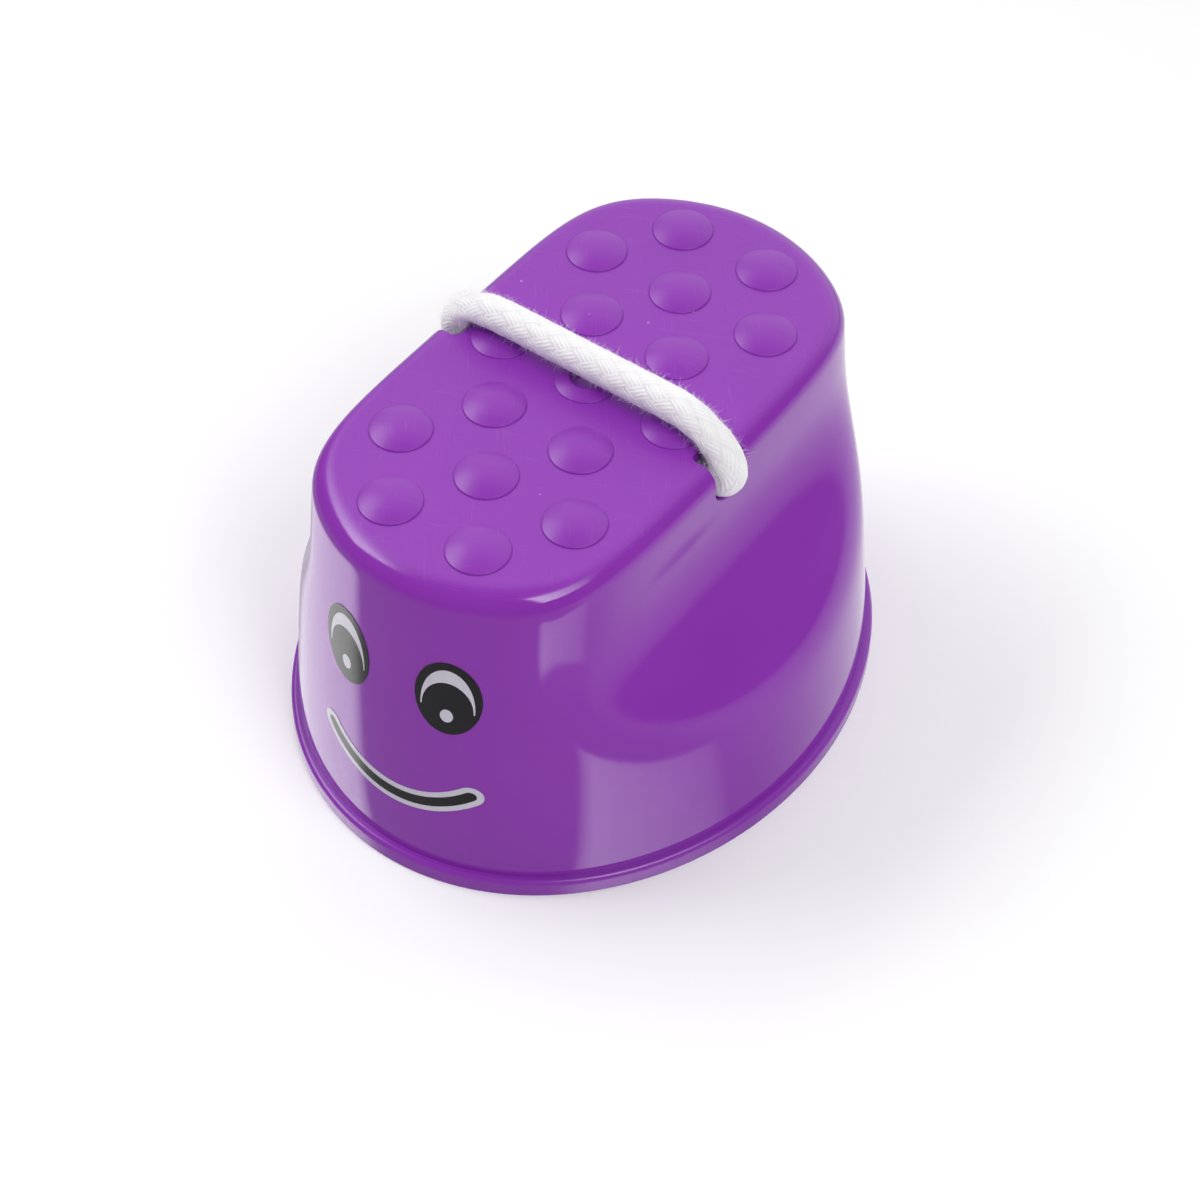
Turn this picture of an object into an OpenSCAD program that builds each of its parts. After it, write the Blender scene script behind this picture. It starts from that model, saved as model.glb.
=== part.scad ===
// Cup stilt: a moulded cup with a studded tread, scooped sides and a printed face, and a rope over the tread.
// Millimetres. X runs across the cup, Y along it with the face at -Y, and Z up from the floor.

/* [Cup] */
// Length over the rim
cup_l = 110; // [100:1:140]
// Width over the rim
cup_w = 93; // [86:1:120]
// Height from the floor to the tops of the studs
cup_h = 65; // [58:1:90]
// Thickness of the side wall
wall_t = 2.2; // [1.6:0.1:3]
// Thickness of the tread plate
tread_t = 2.4; // [1.8:0.1:3.2]
// How far the rim stands out from the wall
rim_w = 1.4; // [0.8:0.1:3]
// Height of the rim
rim_h = 3.5; // [2:0.1:6]
// Radius of the rim's upper edge
rim_r = 0.9; // [0.3:0.1:1.5]
// How far each end leans in between the rim and the tread
end_lean = 4.7; // [2:0.1:8]
// How far each side of the oval leans in between the rim and the tread
side_lean = 7.3; // [4:0.1:10]
// How late the wall leans in, where 1 is a straight slope
swell = 1.25; // [1:0.05:1.6]
// Radius of the rounded edge of the tread
edge_r = 3.6; // [1.5:0.1:5]

/* [Side scoops] */
// Width of the tread between the scooped sides
waist_w = 54.6; // [50:0.2:64]
// Distance from the tread down to where a scoop begins to flare
scoop_drop = 9.8; // [6:0.2:16]
// Height over which a scoop flares out
scoop_h = 21.8; // [16:0.2:28]
// How far a scoop flares out over that height
scoop_out = 17; // [12:0.5:20]
// How suddenly a scoop flares, where 2 is a plain curve
scoop_power = 4.2; // [2:0.1:6]
// How tightly the scoops and the oval blend into each other
blend_power = 10.5; // [6:0.5:16]

/* [Studs] */
// Diameter of a stud
stud_d = 10; // [6:0.2:11]
// Height of a stud over the tread
stud_h = 1.6; // [0.8:0.1:3]
// Flat of the tread between the outer studs and the rounded edge at the sides
stud_side_gap = 2.3; // [0.5:0.1:4]
// Flat of the tread between the end studs and the rounded edge at the ends
stud_end_gap = 2.7; // [0.5:0.1:5]
// Diameter of the well in the middle stud
well_d = 5.2; // [2:0.1:6]
// Depth of the well below the top of the stud
well_h = 1.3; // [0.4:0.1:2]

/* [Rope] */
// Diameter of the rope
rope_d = 5.5; // [4:0.1:5.6]
// Width of the notches that the rope goes through
notch_w = 7.8; // [7:0.2:10]
// How far a notch cuts into the tread from its side
notch_in = 5; // [4.5:0.1:6]
// How far a notch reaches down from the tread, to the bottom of its round end in the wall
notch_h = 8.3; // [8:0.1:12]
// Depth of the slope that eases the tread's edge at a notch's inner end
notch_ease = 0.7; // [0.3:0.1:0.7]
// Diameter of a knot
knot_d = 12; // [9:0.5:13]
// Length of a knot
knot_l = 11; // [9:0.5:13]
// Length of the rope's tail past a knot
tail_l = 4; // [2:0.5:6]

/* [Coil] */
// Radius of the innermost turn, at the middle of the rope
coil_r = 20; // [19:0.5:22]
// Clear gap between neighbouring turns and layers
coil_gap = 0.55; // [0.5:0.05:0.8]
// Width of the tie round the coil
tie_w = 5; // [3:0.5:8]
// Thickness of the tie
tie_t = 0.8; // [0.6:0.1:1.2]

/* [Printed face] */
// Distance of the face's middle from the middle of the cup
face_x = 1.2; // [-3:0.1:3]
// Distance between the middles of the eyes
eye_apart = 18.8; // [14:0.2:22]
// Height of the middles of the eyes
eye_z = 42.2; // [38:0.2:46]
// Width of an eye
eye_w = 10.2; // [8:0.1:12]
// Height of an eye
eye_h = 15.1; // [12:0.1:17]
// Width of the mouth between the middles of its round ends
mouth_w = 26.6; // [20:0.2:30]
// Depth of the smile between those ends and the middle
mouth_sag = 4.9; // [3:0.1:7]
// Height of the lowest point of the mouth's middle line
mouth_z = 16.6; // [14:0.2:20]
// Thickness of the mouth's black line
mouth_t = 2; // [1:0.1:3]
// Width of the white border of the mouth
mouth_edge = 1.05; // [0.5:0.05:1.5]
// Thickness of the ink
ink_t = 0.15; // [0.1:0.01:0.3]

/* [Hidden] */

purple = "#8b35ab";
white = "#f3f1f2";
ink_black = "#2b282d";
ink_white = "#d9d2e0";

// Overrun of every cut past the face that it goes through
over = 1;
// Gap that keeps the ink clear of the wall
ink_gap = 0.03;
// Gap between the coil and its tie, and between the tie and the slanting ends of the coil
tie_gap = 0.35;
tie_slack = 1.4;
// Steps round the cup, up its outer wall, up its inner wall and round its edges
round_n = 72;
wall_n = 15;
inner_n = 10;
edge_n = 4;
// Steps round the bottom of a notch
notch_n = 12;
// Steps round the cup that the ink can cover on either side of the front
face_n = 7;

tread_z = cup_h - stud_h;
edge_z = tread_z - edge_r;
foot_x = cup_w / 2 - rim_w;
foot_y = cup_l / 2 - rim_w;
top_y = foot_y - end_lean;
rim_round = min(rim_r, rim_w, rim_h);
scoop_z = tread_z - scoop_drop;

// Radius of an oval with half-axes a and b in direction t
function oval_r(t, a, b) = a * b / sqrt(pow(b * cos(t), 2) + pow(a * sin(t), 2));
// Share of the lean that the wall has taken at height z
function lean_share(z) = pow(max(0, (z - rim_h) / (tread_z - rim_h)), swell);
// Half-width that the scoops leave at height z
function scoop_x(z) = waist_w / 2 + scoop_out * pow(max(0, scoop_z - z) / scoop_h, scoop_power);
// Radius of the scooped wall in direction t at height z, before the tread's edge is rounded
function wall_r(t, z) =
    let (oval = oval_r(t, foot_x - side_lean * lean_share(z), foot_y - end_lean * lean_share(z)))
    oval * pow(1 + pow(oval * abs(cos(t)) / scoop_x(z), blend_power), -1 / blend_power);
// How far the rounded edge has drawn the wall in at height z
function edge_in(z) = z <= edge_z ? 0 : edge_r - sqrt(max(0, pow(edge_r, 2) - pow(z - edge_z, 2)));
function outer_r(t, z) = wall_r(t, z) - edge_in(z);
function inner_r(t, z) = outer_r(t, z + wall_t) - wall_t;

// Directions of the steps round the cup
turns = [for (i = [0:round_n - 1]) 360 * i / round_n];
// Heights of the steps up the outer wall
wall_zs = [for (i = [0:wall_n]) rim_h + (edge_z - rim_h) * i / wall_n];

// A ring of points of the wall at height z, of the rim's oval drawn in by inset, and of the inner wall
function wall_ring(z) = [for (t = turns) outer_r(t, z) * [cos(t), sin(t), 0] + [0, 0, z]];
function rim_ring(z, inset) =
    [for (t = turns) oval_r(t, cup_w / 2 - inset, cup_l / 2 - inset) * [cos(t), sin(t), 0] + [0, 0, z]];
function inner_ring(z) = [for (t = turns) inner_r(t, z) * [cos(t), sin(t), 0] + [0, 0, z]];

// Triangles between ring k and the next, with n points in a ring
function band(k, n) = [for (i = [0:n - 1], half = [0, 1])
    let (a = k * n + i, b = k * n + (i + 1) % n)
    half == 0 ? [a, b, b + n] : [a, b + n, a + n]];

// Closed solid through a list of rings
module loft(rings) {
    n = len(rings[0]);
    m = len(rings);
    sides = [for (k = [0:m - 2]) each band(k, n)];
    caps = [[for (i = [n - 1:-1:0]) i], [for (i = [0:n - 1]) (m - 1) * n + i]];
    faces = [for (f = concat(sides, caps)) [for (i = [len(f) - 1:-1:0]) f[i]]];
    polyhedron([for (ring = rings) each ring], faces);
}

// The hollow cup without its studs and notches: down the inner wall, out under the rim and up the outer wall
module shell() {
    inner_top = tread_z - tread_t;
    inner = [for (i = [inner_n:-1:0]) inner_ring(inner_top * i / inner_n)];
    rim = [for (i = [0:edge_n])
        let (a = 90 * i / edge_n)
        rim_ring(rim_h - rim_round * (1 - sin(a)), rim_round * (1 - cos(a)))];
    wall = [for (z = wall_zs) wall_ring(z)];
    edge = [for (i = [1:edge_n]) wall_ring(edge_z + edge_r * sin(90 * i / edge_n))];
    loft(concat(inner, [rim_ring(0, 0)], rim, wall, edge));
}

// Steps between neighbouring rows of studs, along and across the tread
stud_dy = (top_y - edge_r - stud_end_gap - stud_d / 2) / 3;
stud_dx = waist_w / 2 - edge_r - stud_side_gap - stud_d / 2;
// Places across the tread, as shares of the step, in even and odd rows
even_shares = [-1, 0, 1];
odd_shares = [-1 / 2, 1 / 2];
stud_spots = [for (row = [-3:3], share = row % 2 == 0 ? even_shares : odd_shares)
    [share * stud_dx, row * stud_dy]];

// A low dome whose foot is sunk into the tread by the overrun
module stud() {
    ball_r = (pow(stud_d / 2, 2) + pow(stud_h, 2)) / (2 * stud_h);
    intersection() {
        translate([0, 0, stud_h - ball_r]) sphere(ball_r, $fn = 96);
        translate([0, 0, -over]) cylinder(d = stud_d, h = stud_h + 2 * over, $fn = 64);
    }
}

// Cut for the notch on the +X side: a U that reaches in from the wall, and a slope for the rope at its inner end
module notch() {
    half_w = notch_w / 2;
    inner_x = waist_w / 2 - notch_in;
    top_z = tread_z + over;
    bottom = [for (i = [0:notch_n])
        let (a = 180 * i / notch_n)
        [-half_w * cos(a), tread_z - notch_h + half_w * (1 - sin(a))]];
    translate([inner_x, 0, 0]) rotate([90, 0, 90]) linear_extrude(notch_in + over)
        polygon(concat(bottom, [[half_w, top_z], [-half_w, top_z]]));
    rotate([90, 0, 0]) linear_extrude(notch_w - 2 * notch_ease, center = true)
        polygon([[inner_x, tread_z - notch_ease], [inner_x + over, tread_z - notch_ease],
            [inner_x + over, top_z], [inner_x - notch_ease - over, top_z]]);
}

module cup() {
    color(purple) difference() {
        union() {
            shell();
            for (spot = stud_spots) translate([spot.x, spot.y, tread_z]) stud();
        }
        notch();
        mirror([1, 0, 0]) notch();
        translate([0, 0, cup_h - well_h]) cylinder(d = well_d, h = well_h + over, $fn = 48);
    }
}

// Turns of the coil, rings in a turn, and sides of the rope in the coil and in its run
coil_turns = 5.5;
loop_n = 24;
coil_sides = 6;
run_sides = 10;
// Middle of the coil
coil_at = [0, 10];
// Share of a turn over which an end of the coil draws in from its spiral
draw_share = 0.5;
// Share of a turn over which the end of the coil lifts to its knot
lift_share = 0.125;
// How far the start and the end of the coil draw in
start_in = 9;
end_in = 8;

coil_step = rope_d + coil_gap;
low_z = tie_t + tie_gap + rope_d / 2;
high_z = low_z + coil_step;
knot_z = knot_d / 2 + tie_gap;

// Smooth step from 0 to 1
function ease(x) = (1 - cos(180 * max(0, min(1, x)))) / 2;
// Radius and height of the coil after u turns: out on the upper layer, then in on the lower one
function coil_radius(u) = coil_r + coil_step * min(u, coil_turns - u)
    - start_in * (1 - ease(u / draw_share))
    - end_in * pow(max(0, 1 - (coil_turns - u) / draw_share), 2);
function coil_height(u) = high_z - coil_step * ease((u - coil_turns / 2) / draw_share + 1 / 2)
    + (knot_z - low_z) * ease(1 - (coil_turns - u) / lift_share);
function coil_point(u) =
    let (t = 270 - 360 * u)
    [coil_at.x + coil_radius(u) * cos(t), coil_at.y + coil_radius(u) * sin(t), coil_height(u)];

function unit(v) = v / norm(v);
coil_n = coil_turns * loop_n;
spiral = [for (i = [0:coil_n]) coil_point(i / loop_n)];
end_way = unit([spiral[coil_n].x - spiral[coil_n - 1].x, spiral[coil_n].y - spiral[coil_n - 1].y, 0]);
start_way = [-1, 0, 0];
coil_path = concat([spiral[0] - rope_d * start_way], spiral, [spiral[coil_n] + rope_d * end_way]);

// Least gap between points of the coil that lie at least half a turn apart
last = len(coil_path) - 1;
half_n = loop_n / 2;
coil_self_gap = min([for (i = [0:last - half_n], j = [i + half_n:last])
    norm(coil_path[i] - coil_path[j])]) - rope_d;
echo(str("least gap of the coil to itself, mm: ", coil_self_gap));

// Route of the rope from the left knot over the tread and in at the right notch, down to the coil
run_route = [[-18.5, 0, 56.2], [-21, 0, 57], [-23.4, 0, 58.2], [-24.9, 0, 60], [-25.3, 0, 62], [-24.5, 0, 64.3],
    [-22.4, 0, 66.5], [-19, 0, 67.7], [-15, 0, 68], [-7, 0, 68], [0, 0, 68], [7, 0, 68], [14, 0, 68], [18, 0, 67.8],
    [21.4, 0, 66.7], [24, 0, 65], [25.8, 0, 63], [26.5, 0, 61], [26.1, 0, 59.2], [24.3, 0, 58], [21.5, 0, 57],
    [19.4, 0, 55.5], [18, 0, 53], [17.5, 0, 48], [17.5, 0, 40], [17.5, 0, 32], [17.5, -0.5, 24],
    [17.5, -1, 17], [16.5, -1, 13], [14.5, -1, 10.8]];
run_path = concat(run_route, [coil_path[0] - rope_d * start_way, coil_path[0]]);

// Direction of a path at its point i, and a ring of n points round it, square to the path, starting towards side
function path_way(path, i) =
    i == 0 ? unit(path[1] - path[0])
    : i == len(path) - 1 ? unit(path[i] - path[i - 1])
    : unit(unit(path[i + 1] - path[i]) + unit(path[i] - path[i - 1]));
function path_ring(path, i, n, side, way) =
    let (across = unit(side - way * (side * way)), lift = cross(way, across))
    [for (k = [0:n - 1]) path[i] + rope_d / 2 * (cos(360 * k / n) * across + sin(360 * k / n) * lift)];

// Rope along a path. Side is a direction that the path never takes
module rope(path, n, side) {
    loft([for (i = [0:len(path) - 1]) path_ring(path, i, n, side, path_way(path, i))]);
}

module rope_run() {
    color(white) rope(run_path, run_sides, [0, 1, 0]);
}

module rope_coil() {
    color(white) rope(coil_path, coil_sides, [0, 0, 1]);
}

// Knot that starts at a point of the rope's end and lies along a direction, with the rope's tail past it
module knot(at, way) {
    knot_n = 8;
    bulge = [for (i = [0:knot_n])
        [(rope_d + (knot_d - rope_d) * sin(180 * i / knot_n)) / 2, knot_l * i / knot_n]];
    translate(at) rotate([0, acos(way.z), atan2(way.y, way.x)]) {
        rotate_extrude($fn = 48) polygon(concat([[0, 0]], bulge, [[0, knot_l]]));
        translate([0, 0, knot_l - over]) cylinder(d = rope_d, h = tail_l + over, $fn = 48);
    }
}

module left_knot() {
    color(white) knot(run_route[0], unit(run_route[0] - run_route[1]));
}

module end_knot() {
    color(white) knot(coil_path[last], end_way);
}

// Band round all the turns where they cross the coil's -X side
module coil_tie() {
    inner_x = min(coil_radius(coil_turns - 1 / 4), coil_radius(1 / 4)) - rope_d / 2 - tie_slack;
    outer_x = coil_radius(coil_turns / 2 - 1 / 2) + rope_d / 2 + tie_gap;
    hole_z = tie_t;
    hole_h = high_z + rope_d / 2 + tie_gap - hole_z;
    color(white) difference() {
        translate([coil_at.x - outer_x - tie_t, coil_at.y - tie_w / 2, 0])
            cube([outer_x - inner_x + 2 * tie_t, tie_w, hole_z + hole_h + tie_t]);
        translate([coil_at.x - outer_x, coil_at.y - tie_w / 2 - over, hole_z])
            cube([outer_x - inner_x, tie_w + 2 * over, hole_h]);
    }
}

// Sizes of the white figures in an eye, as shares of the eye's half-width and half-height from its middle
glint_shares = [0.81, 1.01];
glint_rise_share = -0.21;
pupil_shares = [0.77, 0.755];
pupil_rise_share = -0.305;
glint_tip_share = -0.31;
dot_shares = [0.195, 0.18];
dot_rise_share = -0.48;
// Steps round an eye and along the mouth
eye_n = 48;
mouth_n = 20;

// Oval outline about a middle
module oval(middle, half) {
    polygon([for (i = [0:eye_n - 1])
        middle + [half.x * cos(360 * i / eye_n), half.y * sin(360 * i / eye_n)]]);
}

module eye_outline(x) {
    oval([x, eye_z], [eye_w, eye_h] / 2);
}

// Oval in an eye, with its half-sizes and the rise of its middle as shares of the eye's half-sizes
module eye_part(x, shares, rise_share) {
    oval([x, eye_z + rise_share * eye_h / 2], [shares.x * eye_w, shares.y * eye_h] / 2);
}

// Crescent over the pupil and dot in it
module eye_glints(x) {
    difference() {
        eye_part(x, glint_shares, glint_rise_share);
        eye_part(x, pupil_shares, pupil_rise_share);
        translate([x - eye_w, eye_z + glint_tip_share * eye_h / 2 - eye_h]) square([2 * eye_w, eye_h]);
    }
    eye_part(x, dot_shares, dot_rise_share);
}

// Line of the smile, an arc of the given thickness with round ends
module mouth_outline(t) {
    arc_r = (pow(mouth_w / 2, 2) + pow(mouth_sag, 2)) / (2 * mouth_sag);
    half = asin(mouth_w / 2 / arc_r);
    middle = [face_x, mouth_z + arc_r];
    function on_arc(r, a) = middle + r * [sin(a), -cos(a)];
    function round_end(a, turn) = [for (i = [1:mouth_n - 1])
        on_arc(arc_r, a) + t / 2 * [sin(a + turn + 180 * i / mouth_n), -cos(a + turn + 180 * i / mouth_n)]];
    polygon(concat(
        [for (i = [0:mouth_n]) on_arc(arc_r + t / 2, half * (2 * i / mouth_n - 1))],
        round_end(half, 0),
        [for (i = [mouth_n:-1:0]) on_arc(arc_r - t / 2, half * (2 * i / mouth_n - 1))],
        round_end(-half, 180)));
}

// Skin of ink over the front of the wall, on the wall's own steps
module ink_skin() {
    quarter = round_n / 4;
    front = [for (i = [3 * quarter - face_n:3 * quarter + face_n]) turns[i]];
    function skin_point(t, z, gap) = (outer_r(t, z) + gap) * [cos(t), sin(t), 0] + [0, 0, z];
    loft([for (z = wall_zs) concat(
        [for (t = front) skin_point(t, z, ink_gap + ink_t)],
        [for (i = [len(front) - 1:-1:0]) skin_point(front[i], z, ink_gap)])]);
}

// Part of the skin under an outline that is drawn across X and up Z
module ink(shade) {
    color(shade) intersection() {
        ink_skin();
        rotate([90, 0, 0]) linear_extrude(cup_l) children();
    }
}

module eye_black(x) {
    ink(ink_black) difference() {
        eye_outline(x);
        eye_glints(x);
    }
}

module left_eye_black() { eye_black(face_x - eye_apart / 2); }
module left_eye_white() { ink(ink_white) eye_glints(face_x - eye_apart / 2); }
module right_eye_black() { eye_black(face_x + eye_apart / 2); }
module right_eye_white() { ink(ink_white) eye_glints(face_x + eye_apart / 2); }
module mouth_black() { ink(ink_black) mouth_outline(mouth_t); }
module mouth_white() {
    ink(ink_white) difference() {
        mouth_outline(mouth_t + 2 * mouth_edge);
        mouth_outline(mouth_t);
    }
}

cup();
rope_run();
rope_coil();
left_knot();
end_knot();
coil_tie();
left_eye_black();
left_eye_white();
right_eye_black();
right_eye_white();
mouth_black();
mouth_white();
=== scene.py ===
import math

import bmesh
import bpy
import numpy as np
from mathutils import Matrix, Vector


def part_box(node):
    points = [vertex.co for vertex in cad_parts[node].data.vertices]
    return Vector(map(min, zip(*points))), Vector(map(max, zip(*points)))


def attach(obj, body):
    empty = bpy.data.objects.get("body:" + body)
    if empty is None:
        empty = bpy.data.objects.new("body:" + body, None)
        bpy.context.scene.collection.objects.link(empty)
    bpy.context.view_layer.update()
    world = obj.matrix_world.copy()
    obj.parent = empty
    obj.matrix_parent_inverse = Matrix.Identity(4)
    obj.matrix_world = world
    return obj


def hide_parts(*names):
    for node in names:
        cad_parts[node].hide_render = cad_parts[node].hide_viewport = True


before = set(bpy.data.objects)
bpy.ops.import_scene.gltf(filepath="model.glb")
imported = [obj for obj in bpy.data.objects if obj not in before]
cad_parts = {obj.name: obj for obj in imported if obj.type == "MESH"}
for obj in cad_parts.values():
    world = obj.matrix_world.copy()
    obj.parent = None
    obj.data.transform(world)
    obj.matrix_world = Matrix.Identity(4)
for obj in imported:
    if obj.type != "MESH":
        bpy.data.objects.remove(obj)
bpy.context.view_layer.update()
mm = 0.001  # sizes below are in millimetres, the scene in metres
print("frame:", len(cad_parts), "nodes from the CAD model")


# Camera
shot = {
    "eye": (173.3, -235.7, 349.2),
    "azimuth": 35.85,
    "elevation": 49.06,
    "roll": 0.52,
    "lens": 79.31,
    "sensor": 36,
    "clip": 10,  # nothing nearer is drawn
}


def addCamera():
    turn = (
        Matrix.Rotation(math.radians(shot["azimuth"]), 3, "Z")
        @ Matrix.Rotation(math.radians(90 - shot["elevation"]), 3, "X")
        @ Matrix.Rotation(math.radians(shot["roll"]), 3, "Z")
    )
    bpy.ops.object.camera_add(location=Vector(shot["eye"]) * mm, rotation=turn.to_euler())
    camera = bpy.context.object
    camera.name = "photoCamera"
    camera.data.lens = shot["lens"]
    camera.data.sensor_width = shot["sensor"]
    camera.data.clip_start = shot["clip"] * mm
    bpy.context.scene.camera = camera


addCamera()
print("camera placed")


# Small helpers for pieces
def startPiece():
    if bpy.context.object and bpy.context.object.mode != "OBJECT":
        bpy.ops.object.mode_set(mode="OBJECT")
    bpy.ops.object.select_all(action="DESELECT")


def pick(*pieces):
    startPiece()
    for piece in pieces:
        piece.select_set(True)
    bpy.context.view_layer.objects.active = pieces[0]


def joined(name, pieces):
    pick(*pieces)
    bpy.ops.object.join()
    pieces[0].name = name
    return pieces[0]


def applyModifiers(piece):
    pick(piece)
    for modifier in list(piece.modifiers):
        bpy.ops.object.modifier_apply(modifier=modifier.name)


def boolean(piece, tool, how):
    cut = piece.modifiers.new(how.lower(), "BOOLEAN")
    cut.operation = how
    cut.solver = "EXACT"
    cut.object = tool
    applyModifiers(piece)
    bpy.data.objects.remove(tool)


def copyOf(piece, name):
    pick(piece)
    bpy.ops.object.duplicate(linked=False)
    twin = bpy.context.object
    twin.name = name
    return twin


def smooth(piece, degrees):
    pick(piece)
    bpy.ops.object.shade_smooth_by_angle(angle=math.radians(degrees))


def extrudeRings(name, steps, rings):
    # a disc whose edge is pushed on from ring to ring, each with a radius for a direction and a height
    startPiece()
    bpy.ops.mesh.primitive_circle_add(vertices=steps, radius=1, fill_type="NGON")
    piece = bpy.context.object
    piece.name = name
    bpy.ops.object.mode_set(mode="EDIT")
    bpy.ops.mesh.select_all(action="SELECT")
    net = bmesh.from_edit_mesh(piece.data)
    for count, (radiusAt, height) in enumerate(rings):
        if count:
            bpy.ops.mesh.extrude_region_move()
        for point in net.verts:
            if point.select:
                turn = math.atan2(point.co.y, point.co.x)
                radius = radiusAt(turn)
                point.co = Vector((radius * math.cos(turn), radius * math.sin(turn), height)) * mm
        bmesh.update_edit_mesh(piece.data)
    faceOutwards()
    return piece


def faceOutwards():
    bpy.ops.mesh.select_all(action="SELECT")
    bpy.ops.mesh.normals_make_consistent(inside=False)
    bpy.ops.object.mode_set(mode="OBJECT")


def meshPiece(name, points, faces):
    mesh = bpy.data.meshes.new(name)
    mesh.from_pydata(points, [], faces)
    piece = bpy.data.objects.new(name, mesh)
    bpy.context.scene.collection.objects.link(piece)
    return piece


def loftPiece(name, rings):
    # closed skin over rings of equally many points, in millimetres
    rings = np.asarray(rings, float)
    count, sides = rings.shape[:2]
    faces = []
    for i in range(count - 1):
        for k in range(sides):
            a, b = i * sides + k, i * sides + (k + 1) % sides
            faces.append((a, b, b + sides, a + sides))
    first = list(range(sides))
    last = [(count - 1) * sides + k for k in first]
    return meshPiece(name, (rings.reshape(-1, 3) * mm).tolist(), faces + [first[::-1], last])


# Rope: the same route as the CAD model's, one length of cord from knot to knot
rope = {
    "diameter": 5.5,
    "route": [
        (-18.5, 0, 56.2), (-21, 0, 57), (-23.4, 0, 58.2), (-24.9, 0, 60), (-25.3, 0, 62),
        (-24.5, 0, 64.3), (-22.4, 0, 66.5), (-19, 0, 67.7), (-15, 0, 68), (-7, 0, 68), (0, 0, 68),
        (7, 0, 68), (14, 0, 68), (18, 0, 67.8), (21.4, 0, 66.7), (24, 0, 65), (25.8, 0, 63),
        (26.5, 0, 61), (26.1, 0, 59.2), (24.3, 0, 58), (21.5, 0, 57), (19.4, 0, 55.5), (18, 0, 53),
        (17.5, 0, 48), (17.5, 0, 40), (17.5, 0, 32), (17.5, -0.5, 24), (17.5, -1, 17),
        (16.5, -1, 13), (14.5, -1, 10.8),
    ],
    "coilTurns": 5.5,
    "coilRadius": 20,
    "coilGap": 0.55,
    "coilMiddle": (0, 10),
    "coilFloor": 1.15,  # the tie and its gap lie under the coil
    "drawShare": 0.5,
    "liftShare": 0.125,
    "startIn": 9,
    "endIn": 8,
    "knotHeight": 6.35,
    "loopPoints": 48,
    "runStep": 0.3,  # ring spacing where the rope shows, and in the coil
    "coilStep": 0.7,
    "sides": 40,
    "strands": 6,  # strands of the braid each way round
    "strandPitch": 27,  # length in which a strand goes once round
    "pillow": 0.11,  # how far a strand stands out where it crosses over
    "pillowRound": 0.7,  # below 1 its sides are fuller
    "pillowEnd": 0.8,  # below 1 its ends stay up
    "pillowSeat": 0.75,  # the share of its height at which it lies on the rope's round
    # where a bend is drawn flat, or spread where the share is below zero: place, reach, share
    "pressed": [((-23.2, 66.2), 3.2, 0.26), ((22.5, 66.8), 3, 0.1), ((25.8, 58.4), 3, -0.32)],
}


def ease(x):
    return (1 - math.cos(math.pi * max(0, min(1, x)))) / 2


def coilPoint(u):
    turns, step = rope["coilTurns"], rope["diameter"] + rope["coilGap"]
    low = rope["coilFloor"] + rope["diameter"] / 2
    left = turns - u
    radius = rope["coilRadius"] + step * min(u, left)
    radius -= rope["startIn"] * (1 - ease(u / rope["drawShare"]))
    radius -= rope["endIn"] * max(0, 1 - left / rope["drawShare"]) ** 2
    height = low + step - step * ease((u - turns / 2) / rope["drawShare"] + 0.5)
    height += (rope["knotHeight"] - low) * ease(1 - left / rope["liftShare"])
    turn = math.radians(270 - 360 * u)
    middle = rope["coilMiddle"]
    return (middle[0] + radius * math.cos(turn), middle[1] + radius * math.sin(turn), height)


def coilPath():
    count = round(rope["coilTurns"] * rope["loopPoints"])
    spiral = [Vector(coilPoint(i / rope["loopPoints"])) for i in range(count + 1)]
    endWay = spiral[-1] - spiral[-3]
    endWay.z = 0
    endWay.normalize()
    before = spiral[0] + Vector((rope["diameter"], 0, 0))
    return [before] + spiral + [spiral[-1] + rope["diameter"] * endWay], endWay


def throughPoints(points, fineStep, coarseStep, fineCount):
    # smooth line through the points, with close steps over the first ones
    points = [Vector(p) for p in points]
    ends = [2 * points[0] - points[1]] + points + [2 * points[-1] - points[-2]]
    line = []
    for i in range(1, len(ends) - 2):
        a, b, c, d = ends[i - 1:i + 3]
        step = fineStep if i <= fineCount else coarseStep
        count = max(1, round((c - b).length / step))
        for k in range(count):
            t = k / count
            line.append(0.5 * (2 * b + (c - a) * t + (2 * a - 5 * b + 4 * c - d) * t ** 2
                               + (3 * b - a - 3 * c + d) * t ** 3))
    return np.array(line + [points[-1]])


def carriedFrame(line):
    # directions along the line, and a side and a lift square to it that don't twist
    way = np.gradient(line, axis=0)
    way /= np.linalg.norm(way, axis=1)[:, None]
    side = np.zeros_like(line)
    last = np.array((0.0, 1.0, 0.0))
    for i, ahead in enumerate(way):
        last = last - ahead * last.dot(ahead)
        last /= np.linalg.norm(last)
        side[i] = last
    return way, side, np.cross(way, side)


def lengthsAlong(line):
    return np.concatenate([[0], np.cumsum(np.linalg.norm(np.diff(line, axis=0), axis=1))])


def braidHeight(turn, along):
    # two sets of strands that cross: at each crossing one stands out as a pillow, 1 at its middle
    count = rope["strands"]
    a = count * (turn / (2 * math.pi) + along / rope["strandPitch"])
    b = count * (turn / (2 * math.pi) - along / rope["strandPitch"])
    over = (np.floor(a) + np.floor(b)) % 2 == 0
    across = np.where(over, a, b) % 1 - 0.5
    ahead = np.where(over, b, a) % 1 - 0.5
    crown = np.cos(math.pi * across) ** rope["pillowRound"]
    return crown * np.cos(math.pi * ahead * rope["pillowEnd"])


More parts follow.
